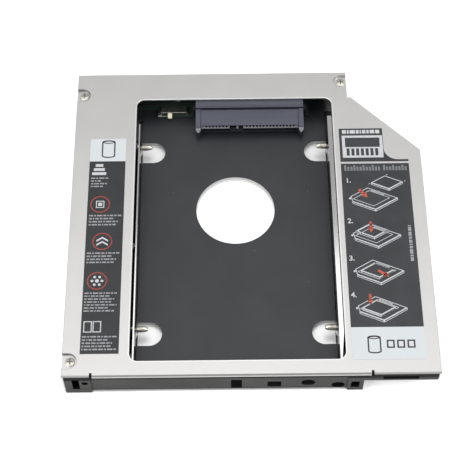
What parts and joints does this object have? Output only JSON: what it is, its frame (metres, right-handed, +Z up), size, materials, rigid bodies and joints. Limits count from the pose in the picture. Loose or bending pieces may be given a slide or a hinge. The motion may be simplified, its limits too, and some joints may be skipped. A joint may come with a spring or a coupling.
{
  "type": "laptop drive caddy",
  "caption": "Flat folded-sheet bay caddy: windowed cover, raised film-covered floor, side retaining screws, drive receptacle, rear plug and a thin right wing with a cut corner.",
  "frame": {"origin": "middle of the footprint, on the surface that the caddy rests on", "axes": "+X to the right seen from the front, +Y from the front to the rear plug, +Z up through the cover"},
  "size_m": [0.128, 0.127, 0.0127],
  "materials": {
    "cover_sheet": "satin zinc-coated sheet",
    "tray_sheet": "satin zinc-coated sheet",
    "guide_sheet": "bright sheet",
    "rivet_metal": "satin",
    "insulating_film": "smooth matt",
    "rail_plastic": "fine moulded texture",
    "drive_screw_steel": "dark nickel",
    "cover_screw_nickel": "nickel",
    "board_laminate": "solder mask",
    "receptacle_plastic": "moulded",
    "host_plastic": "moulded",
    "contact_metal": "thin gold plate",
    "switch_metal": "tinned",
    "switch_plastic": "moulded",
    "knob_plastic": "moulded",
    "capacitor_ceramic": "fired ceramic",
    "label_print": "printed film"
  },
  "bodies": {
    "caddy": {"top_cover": "cover_sheet", "bottom_tray": "tray_sheet", "insulating_film": "insulating_film", "left_guide": "guide_sheet", "right_guide": "guide_sheet", "guide_rivets": "rivet_metal", "front_rail": "rail_plastic", "cover_screws": "cover_screw_nickel", "adapter_board": "board_laminate", "board_screws": "cover_screw_nickel", "drive_receptacle": "receptacle_plastic", "receptacle_contacts": "contact_metal", "host_connector": "host_plastic", "host_contacts": "contact_metal", "switch_frame": "switch_metal", "switch_base": "switch_plastic", "switch_terminals": "switch_metal", "board_capacitors": "capacitor_ceramic", "left_label": "label_print", "right_label": "label_print", "right_label_header": "label_print"},
    "front_left_screw": {"front_left_drive_screw": "drive_screw_steel"},
    "front_right_screw": {"front_right_drive_screw": "drive_screw_steel"},
    "rear_left_screw": {"rear_left_drive_screw": "drive_screw_steel"},
    "rear_right_screw": {"rear_right_drive_screw": "drive_screw_steel"},
    "switch_slider": {"switch_knob": "knob_plastic"}
  },
  "joints": [
    {"name": "front_left_screw_travel", "type": "slide", "parent": "caddy", "child": "front_left_screw", "axis": [-1, 0, 0], "range_m": [0, 0.00385]},
    {"name": "front_right_screw_travel", "type": "slide", "parent": "caddy", "child": "front_right_screw", "axis": [1, 0, 0], "range_m": [0, 0.00385]},
    {"name": "rear_left_screw_travel", "type": "slide", "parent": "caddy", "child": "rear_left_screw", "axis": [-1, 0, 0], "range_m": [0, 0.00385]},
    {"name": "rear_right_screw_travel", "type": "slide", "parent": "caddy", "child": "rear_right_screw", "axis": [1, 0, 0], "range_m": [0, 0.00385]},
    {"name": "switch_travel", "type": "slide", "parent": "caddy", "child": "switch_slider", "axis": [1, 0, 0], "range_m": [0, 0.003]}
  ]
}
